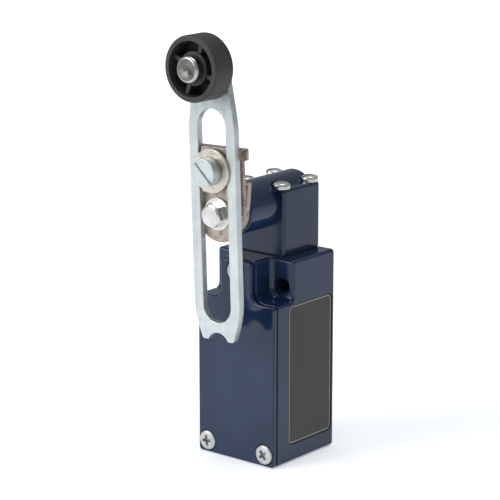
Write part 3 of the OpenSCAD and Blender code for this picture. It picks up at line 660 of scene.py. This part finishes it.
headScrew = {"head": 2.75, "height": 1.9, "dome": 1.9, "shank": 1.5, "length": 25.5,
             "cross": (3.3, 0.85, 1.2), "slot": 0.75, "slotDepth": 0.75,
             "turns": (15, 62, 35, 80)}
headTop = cadBox("head_screws")[1].z - headScrew["height"]
screws = []
for turn, (x, y) in zip(headScrew["turns"], headSpots):
    spot = Matrix.Translation((x, y, headTop))
    screws.append(placed(screw(headScrew), spot @ Matrix.Rotation(math.radians(turn), 4, "Z")))
finished("head_screw_set", joined(screws), "head_screws")
print("screws")

foil = labelPlate(0, labelLow.x, labelHigh.x)
shown = [face for face in foil.faces if face.normal.x > 0.9]
bmesh.ops.inset_region(foil, faces=shown, thickness=label["margin"], use_even_offset=True)
border = bmesh.ops.inset_region(foil, faces=shown, thickness=label["line"], use_even_offset=True)
for face in border["faces"]:
    face.material_index = 1
finished("label_plate", foil, "type_label", 30, [borderFinish])
print("label")

head = {"edge": 1.0, "barrel": 7.9, "front": 32.0, "back": -0.4, "barrelBack": 0.55,
        "blockFront": -18.4, "landHeight": 29.2, "lip": 0.8, "rearBore": 4.2, "rearWall": 1.2,
        "chamber": 6.2, "chamberBack": 3.2, "chamberFront": 17.4, "bush": 5.5, "seal": 6.2,
        "sealBack": 30.4, "well": 5.8, "screwHole": 1.6, "screwSeat": 3.2}
lump = soften(block((headLow.x, head["blockFront"], headLow.z),
                    (headHigh.x, head["back"], head["landHeight"])), head["edge"], 4, 50,
              lambda edge: any(vert.co.z > headLow.z + near for vert in edge.verts))
barrel = turned([(0, head["barrelBack"]), (head["barrel"], head["barrelBack"]),
                 (head["barrel"], head["front"]), (0, head["front"])], 96)
placed(soften(barrel, head["lip"], 4), onShaft @ facingFront)
hollow = turned([
    (0, head["rearWall"]), (head["rearBore"], head["rearWall"]),
    (head["rearBore"], head["chamberBack"]), (head["chamber"], head["chamberBack"]),
    (head["chamber"], head["chamberFront"]), (head["bush"], head["chamberFront"]),
    (head["bush"], head["sealBack"]), (head["seal"], head["sealBack"]),
    (head["seal"], head["front"] + 8), (0, head["front"] + 8)], 64)
tools = [placed(hollow, onShaft @ facingFront),
         rod(head["well"], (0, headMiddle, headLow.z - 1), (0, headMiddle, shaftSpot.z), 60)]
for x, y in headSpots:
    tools.append(rod(head["screwHole"], (x, y, headLow.z - 1), (x, y, 40), 32))
    tools.append(rod(head["screwSeat"], (x, y, head["landHeight"]), (x, y, 40), 48))
finished("head_casting", carved(carved(lump, [barrel], "UNION"), tools), "head_housing")
print("head")

toothed = {"round": 7.6, "flank": [(8.8, 9.4), (8.3, 4.4), (7.7, 0.6), (5.0, -2.0)],
           "teeth": 12, "firstGap": 8.8, "pitch": 0.75, "gap": 0.36, "depth": 0.8, "cut": 1.1,
           "square": 3.25}
toothLow, toothHigh = cadBox("toothed_hub")
flank = toothed["flank"]
upper = raised(mirroredOutline([(x, z, 0) for x, z in flank]), toothHigh.y, toothLow.y)
lower = rod(toothed["round"], (0, toothHigh.y, 0), (0, toothLow.y, 0), 96)


def sideGaps(reach, low, high, front, back):
    # a small block at each side, cut in to reach
    gaps = []
    for side in (-1, 1):
        left, right = sorted((side * reach, side * (reach + 3)))
        gaps.append(block((left, front, low), (right, back, high)))
    return gaps


gaps = []
for index in range(toothed["teeth"]):
    z = toothed["firstGap"] - index * toothed["pitch"]
    for (xTop, zTop), (xLow, zLow) in zip(flank, flank[1:]):
        if zLow <= z <= zTop:
            reach = xLow + (xTop - xLow) * (z - zLow) / (zTop - zLow) - toothed["depth"]
    gaps += sideGaps(reach, z - toothed["gap"] / 2, z + toothed["gap"] / 2, toothLow.y - 1,
                     toothLow.y + toothed["cut"])
square = block((-toothed["square"], toothLow.y - 1, -toothed["square"]),
               (toothed["square"], toothHigh.y + 1, toothed["square"]))
segment = carved(carved(upper, [lower], "UNION"), [joined(gaps), square])
finished("toothed_segment", placed(segment, onLever), "toothed_hub", 30)

hub = {"half": 8.8, "earHalf": 10.4, "earHeight": 3.6, "top": 20.4, "back": -35.3,
       "front": -37.75, "guideHalf": 5.1, "guideFront": -39.25, "guideLow": 6.4,
       "guideCorner": 0.6, "clampHeight": 13.5, "hole": 2.56, "collar": 4, "edge": 0.22,
       "nicks": 32, "nickLow": 0.3, "nickPitch": 0.62, "nickWidth": 0.34, "nickDepth": 0.7,
       "nickReach": 1.25}
earLow = hub["top"] - hub["earHeight"]
strip = raised(mirroredOutline([
    (hub["half"], -hub["half"], hub["half"] - 0.01), (hub["half"], earLow, 0.3),
    (hub["earHalf"], earLow, 0.4), (hub["earHalf"], hub["top"], 0.6)]),
    hub["back"], hub["front"])
bmesh.ops.remove_doubles(strip, verts=strip.verts, dist=0.03)
soften(strip, hub["edge"], 2, 50)
guide = soften(raised(rectangle(-hub["guideHalf"], hub["guideLow"], hub["guideHalf"], hub["top"],
                                hub["guideCorner"]), hub["front"] + 0.2, hub["guideFront"]),
               0.2, 2, 50)
collar = rod(hub["collar"], (0, hub["back"] - 0.1, hub["clampHeight"]),
             (0, hub["back"] + 2, hub["clampHeight"]))
strip = carved(strip, [guide, collar], "UNION")
strip = carved(strip, [rod(hub["hole"], (0, -45, z), (0, -20, z), 40)
                       for z in (0, hub["clampHeight"])])
nicks = []
for index in range(hub["nicks"]):
    z = hub["nickLow"] + index * hub["nickPitch"]
    reach = (hub["earHalf"] if z > earLow else hub["half"]) - hub["nickDepth"]
    nicks += sideGaps(reach, z, z + hub["nickWidth"], hub["front"] - 1,
                      hub["front"] + hub["nickReach"])
strip = carved(strip, [joined(nicks)])
finished("hub_plate", placed(strip, onLever), "lever_hub", 30)
print("hub")


def washer(outer, inner, back, front, edge=0.18):
    made = turned([(inner, -back), (outer, -back), (outer, -front), (inner, -front)], 72)
    return placed(soften(made, edge, 3), facingFront)


bolt = {"flats": 6.7, "face": 2.85, "front": 42.0, "seat": 38.75, "turn": 12, "shank": 2.5,
        "end": 26.0, "washer": 5.0, "washerBore": 2.66, "chamfer": 0.7, "edge": 0.12}
corner = bolt["flats"] / math.cos(math.radians(30)) / 2
hexagon = bmesh.new()
bmesh.ops.create_cone(hexagon, cap_ends=True, segments=6, radius1=corner, radius2=corner,
                      depth=bolt["front"] - bolt["seat"])
placed(hexagon, Matrix.Rotation(math.radians(bolt["turn"]), 4, "Z")
       @ Matrix.Translation((0, 0, (bolt["front"] + bolt["seat"]) / 2)))
soften(hexagon, bolt["edge"], 2, 40,
       lambda edge: abs(edge.verts[0].co.z - edge.verts[1].co.z) > 1)
crown = turned([(0, bolt["seat"] - 0.01), (corner - 0.1, bolt["seat"] - 0.01),
                (corner + 0.02, bolt["seat"] + 0.65),
                (corner + 0.02, bolt["front"] - bolt["chamfer"]),
                (bolt["face"], bolt["front"]), (0, bolt["front"])], 72)
hexagon = carved(hexagon, [soften(crown, bolt["edge"], 3, 18)], "INTERSECT")
stem = rod(bolt["shank"], (0, 0, bolt["end"]), (0, 0, bolt["seat"] + 0.15), 40)
finished("hub_hex_bolt", placed(joined([hexagon, stem]), onLever @ facingFront), "hub_bolt", 24)
flat = washer(bolt["washer"], bolt["washerBore"], hub["front"], -bolt["seat"])
finished("hub_flat_washer", placed(flat, onLever), "hub_washer")

clamp = {"washer": 6.75, "bore": 2.66, "washerBack": -40.05, "washerFront": -41.05,
         "springFront": -42.05, "gap": 0.8, "splitTurn": 215, "head": 4.25,
         "headFront": -44.65, "shank": 2.5, "end": -32.7, "slot": 0.9, "slotDepth": 0.7,
         "turn": 45, "edge": 0.3}
onClamp = onLever @ Matrix.Translation((0, 0, hub["clampHeight"]))
flat = washer(clamp["washer"], clamp["bore"], clamp["washerBack"], clamp["washerFront"], 0.25)
finished("clamp_flat_washer", placed(flat, onClamp), "clamp_washer")
ring = washer(clamp["head"] + 0.1, clamp["bore"], clamp["washerFront"], clamp["springFront"],
              0.24)
split = placed(block((0, -60, -clamp["gap"] / 2), (9, -20, clamp["gap"] / 2)),
               Matrix.Rotation(math.radians(clamp["splitTurn"]), 4, "Y"))
finished("clamp_split_washer", placed(carved(ring, [split]), onClamp), "clamp_spring_washer")
cheese = turned([(0, -clamp["headFront"]), (clamp["head"], -clamp["headFront"]),
                 (clamp["head"], -clamp["springFront"]), (clamp["shank"], -clamp["springFront"]),
                 (clamp["shank"], 0.2 - clamp["end"]), (clamp["shank"] - 0.3, -clamp["end"]),
                 (0, -clamp["end"])], 72)
soften(cheese, clamp["edge"], 4, 50, edgesIn("z", low=-clamp["springFront"] - 0.05))
placed(cheese, facingFront)
slotTool = placed(block((-8, -50, -clamp["slot"] / 2),
                        (8, clamp["headFront"] + clamp["slotDepth"], clamp["slot"] / 2)),
                  Matrix.Rotation(math.radians(clamp["turn"]), 4, "Y"))
finished("clamp_slot_screw", placed(carved(cheese, [slotTool]), onClamp), "clamp_screw")
print("hub fasteners")

lever = {"half": 8.9, "slotHalf": 5.35, "slotTop": 32.1, "slotLow": -33.3, "shoulder": 26.5,
         "reach": 44.9, "topRound": 6.4, "foot": -38.9, "notch": 4.3, "notchDepth": 2.4,
         "back": -37.8, "front": -40.0, "frontEdge": 0.28, "backEdge": 0.12, "hole": 2.52}
blade = raised(mirroredOutline([
    (6.0, lever["foot"], 0.9), (7.4, -35, 3), (8.5, -31, 6), (lever["half"], -27.8, 8),
    (lever["half"], lever["shoulder"], 9), (8.1, 32.4, 9), (6.9, 39.6, 4), (6.3, 43.9, 0),
    (6.1, 45.9, 0)]), lever["back"], lever["front"])
nose = rod(lever["topRound"], (0, lever["back"], lever["reach"]),
           (0, lever["front"], lever["reach"]), 96)
blade = carved(blade, [nose], "UNION")
window = rectangle(-lever["slotHalf"], lever["slotLow"], lever["slotHalf"], lever["slotTop"],
                   lever["slotHalf"] - 0.01)
bmesh.ops.remove_doubles(window, verts=window.verts, dist=0.03)
notchSpot = lever["foot"] + lever["notchDepth"] - lever["notch"]
blade = carved(blade, [raised(window, lever["back"] + 1, lever["front"] - 1),
                       rod(lever["notch"], (0, -30, notchSpot), (0, -50, notchSpot), 64),
                       rod(lever["hole"], (0, -30, lever["reach"]),
                           (0, -50, lever["reach"]), 48)])
soften(blade, lever["frontEdge"], 3, 50, edgesIn("y", high=lever["front"] + near))
soften(blade, lever["backEdge"], 2, 50, edgesIn("y", low=lever["back"] - near))
finished("lever_blade", placed(blade, onLever), "lever", 30)
print("lever")

wheel = {"radius": 10.0, "back": 40.5, "front": 48.7, "rim": 8.3, "hub": 5.1, "sink": 1.4,
         "web": 2.0, "spoke": 1.3, "spokeSink": 1.9, "edge": 0.7, "innerEdge": 0.18,
         "bore": 2.55, "turns": (66.9, 156.9, 246.9, 336.9)}
onPin = onLever @ Matrix.Translation((0, 0, lever["reach"])) @ facingFront
sunk = wheel["front"] - wheel["sink"]
disc = turned([(wheel["bore"], wheel["back"]), (wheel["radius"], wheel["back"]),
               (wheel["radius"], wheel["front"]), (wheel["rim"], wheel["front"]),
               (wheel["rim"], sunk), (wheel["bore"], sunk)], 120)
soften(disc, wheel["edge"], 4, 50,
       lambda edge: all(vert.co.xy.length > wheel["radius"] - 0.1 for vert in edge.verts))
troughOuter = wheel["rim"] - 0.05   # a little inside the rim, so that no two walls coincide
trough = turned([(wheel["hub"], wheel["back"] + wheel["web"]),
                 (troughOuter, wheel["back"] + wheel["web"]),
                 (troughOuter, wheel["front"] + 1), (wheel["hub"], wheel["front"] + 1)], 120)
spokes = []
for turn in wheel["turns"]:
    spoke = block((2, -wheel["spoke"] / 2, wheel["back"]),
                  (12, wheel["spoke"] / 2, wheel["front"] - wheel["spokeSink"]))
    spokes.append(placed(spoke, Matrix.Rotation(math.radians(turn), 4, "Z")))
disc = carved(disc, [carved(trough, spokes)])
inFront = edgesIn("z", low=wheel["back"] + 4)
soften(disc, wheel["innerEdge"], 2, 60, lambda edge: inFront(edge)
       and all(vert.co.xy.length < wheel["rim"] - 0.1 for vert in edge.verts), held=True)
finished("roller_wheel", placed(disc, onPin), "roller", 34)

pin = {"radius": 2.5, "head": 4.1, "headBack": 48.8, "front": 50.4, "rivet": 3.7,
       "leverBack": 37.8, "rivetHeight": 1.1, "edge": 0.14, "dish": 3.3,
       "dishSteps": [(2.5, 0.12), (1.3, 0.28), (0.5, 0.55), (0, 0.6)]}
axle = turned([(0, pin["leverBack"] - pin["rivetHeight"]),
               (pin["rivet"] - 0.7, pin["leverBack"] - pin["rivetHeight"]),
               (pin["rivet"], pin["leverBack"] - 0.4), (pin["rivet"], pin["leverBack"]),
               (pin["radius"], pin["leverBack"]), (pin["radius"], pin["headBack"]),
               (pin["head"], pin["headBack"]), (pin["head"], pin["front"] - 0.8),
               (pin["head"] - 0.3, pin["front"] - 0.25), (pin["head"] - 0.75, pin["front"])]
              + [(radius, pin["front"] - drop) for radius, drop in pin["dishSteps"]], 72)
atHead, atRivet = edgesIn("z", low=49), edgesIn("z", high=38)
soften(axle, pin["edge"], 3, 14, lambda edge: atHead(edge) or atRivet(edge))
for face in axle.faces:   # after the bevel, so that the dish ends in the same place each run
    middle = face.calc_center_median()
    if middle.z > 49 and middle.xy.length < pin["dish"]:
        face.material_index = 1
finished("roller_axle", placed(axle, onPin), "roller_pin", 30, [dishFinish])
print("roller")


def coilSpring(radius, wire, low, high, turns, steps=20):
    # a closed turn at each end and open turns between them
    mesh = bmesh.new()
    bmesh.ops.create_circle(mesh, cap_ends=True, segments=10, radius=wire)
    placed(mesh, Matrix.Translation((radius, 0, low + wire)) @ facingFront)
    closedRise = 2.1 * wire
    openRise = (high - low - 2 * wire - 2 * closedRise) / turns
    last = mesh.faces[:]
    for count, rise in ((1, closedRise), (turns, openRise), (1, closedRise)):
        swept = bmesh.ops.spin(mesh, geom=last, cent=(0, 0, 0), axis=(0, 0, 1),
                               angle=math.tau * count, steps=steps * count,
                               dvec=(0, 0, rise / steps), use_merge=False)
        last = [item for item in swept["geom_last"] if isinstance(item, bmesh.types.BMFace)]
    inside = [face for face in mesh.faces if all(len(edge.link_faces) > 2 for edge in face.edges)]
    bmesh.ops.delete(mesh, geom=inside, context="FACES_ONLY")
    bmesh.ops.recalc_face_normals(mesh, faces=mesh.faces)
    return mesh


# the two coil springs, each built in its part's place at rest
springs = {"tappet_spring_coil": {"node": "tappet_spring", "radius": 3.5, "wire": 0.3,
                                  "turns": 4, "joint": "tappet_push"},
           "return_spring_coil": {"node": "return_spring", "radius": 2.2, "wire": 0.25,
                                  "turns": 4, "joint": "contact_travel"}}
for name, spring in springs.items():
    low, high = cadBox(spring["node"])
    travel = jointOf[spring["joint"]]["range_m"][1] / millimetre
    coil = coilSpring(spring["radius"], spring["wire"], low.z, high.z, spring["turns"])
    placed(coil, Matrix.Translation((0, headMiddle, 0)))
    piece = finished(name, coil, spring["node"], 60)
    1 - travel / (high.z - low.z)
    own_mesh(piece)
print("springs")

# the floor glows beyond the back left corner and dulls far out at the front left
stage = {"size": 5.0, "drop": 0.0002, "slant": (0.63, 0.77), "rough": 0.85,
         "paper": (0.88, 0.88, 0.88), "paperLight": (0.91, 0.91, 0.91),
         "near": (0.40, 0.42, 0.45), "rightward": (0.05, 0.30), "rightGlow": (0.30, 0.30, 0.31),
         "behind": (0.05, 0.9), "farGlow": (0.84, 0.85, 0.86),
         "fade": (0.20, 0.55), "fadeTone": (0.60, 0.61, 0.62), "fadeGlow": (0.12, 0.12, 0.12)}
ground = bmesh.new()
bmesh.ops.create_grid(ground, x_segments=2, y_segments=2, size=stage["size"])
bmesh.ops.translate(ground, vec=(0, 0, sizeLow.z - stage["drop"]), verts=ground.verts)
floor = bpy.data.objects.new("studio_floor", asData(ground, "studio_floor"))
bpy.context.scene.collection.objects.link(floor)
paper = newFinish("white paper")
across, deep = paper.along(0), paper.along(1)
slantX, slantY = stage["slant"]
fade = (across * -slantX - deep * slantY).between(*stage["fade"])
behind = (deep * slantY - across * slantX).between(*stage["behind"])
rightward = (across * slantY + deep * slantX).between(*stage["rightward"])
paperTone = paper.blend(paper.noise(3, 2), stage["paper"], stage["paperLight"])
paperTone = paper.blend(fade, paperTone, stage["fadeTone"])
glow = paper.blend(rightward, stage["near"], stage["rightGlow"])
glow = paper.blend(behind, glow, stage["farGlow"])
glow = paper.blend(fade, glow, stage["fadeGlow"])
floor.data.materials.append(paper.close(colour=paperTone, roughness=stage["rough"], glow=glow,
                                        glowStrength=1.0))

view = {"target": (-0.0065, -0.0150, 0.0074), "from": (0.6141, -0.7516, 0.2406),
        "distance": 0.673, "lens": 155.7, "sensor": 36}
lensBody = bpy.data.cameras.new("camera")
lensBody.lens = view["lens"]
lensBody.sensor_width = view["sensor"]
lensBody.clip_start = 0.01
camera = bpy.data.objects.new("camera", lensBody)
bpy.context.scene.collection.objects.link(camera)
lookFrom = Vector(view["from"]).normalized()
camera.location = Vector(view["target"]) + lookFrom * view["distance"]
camera.rotation_euler = lookFrom.to_track_quat("Z", "Y").to_euler()
bpy.context.scene.camera = camera

lights = {
    "front left panel": {"spot": (-0.45, -0.80, 0.45), "size": (0.55, 0.7), "power": 5.8,
                         "tint": (1.0, 0.99, 0.97)},
    "top panel": {"spot": (0.05, 0.05, 0.95), "size": (0.5, 0.5), "power": 2.6,
                  "tint": (1.0, 1.0, 1.0)}}
for name, setting in lights.items():
    lamp = bpy.data.lights.new(name, "AREA")
    lamp.shape = "RECTANGLE"
    lamp.size, lamp.size_y = setting["size"]
    lamp.energy = setting["power"]
    lamp.color = setting["tint"]
    holder = bpy.data.objects.new(name, lamp)
    bpy.context.scene.collection.objects.link(holder)
    holder.location = setting["spot"]
    holder.rotation_euler = Vector(setting["spot"]).to_track_quat("Z", "Y").to_euler()

studio = {"left": (0.36, 0.385, 0.41), "right": (0.32, 0.32, 0.31), "above": (0.42, 0.43, 0.44)}
world = bpy.data.worlds.new("studio")
bpy.context.scene.world = world
sky = Finish(world, "Generated")
skyTone = sky.blend(sky.along(0).between(-0.5, 0.7), studio["left"], studio["right"])
skyTone = sky.blend(sky.along(2).between(0.35, 0.9), skyTone, studio["above"])
backdrop = sky.node("Background", None, {"Color": skyTone})
sky.node("OutputWorld", None, {"Surface": backdrop})
bpy.context.scene.view_settings.view_transform = "Standard"
print("stage set")
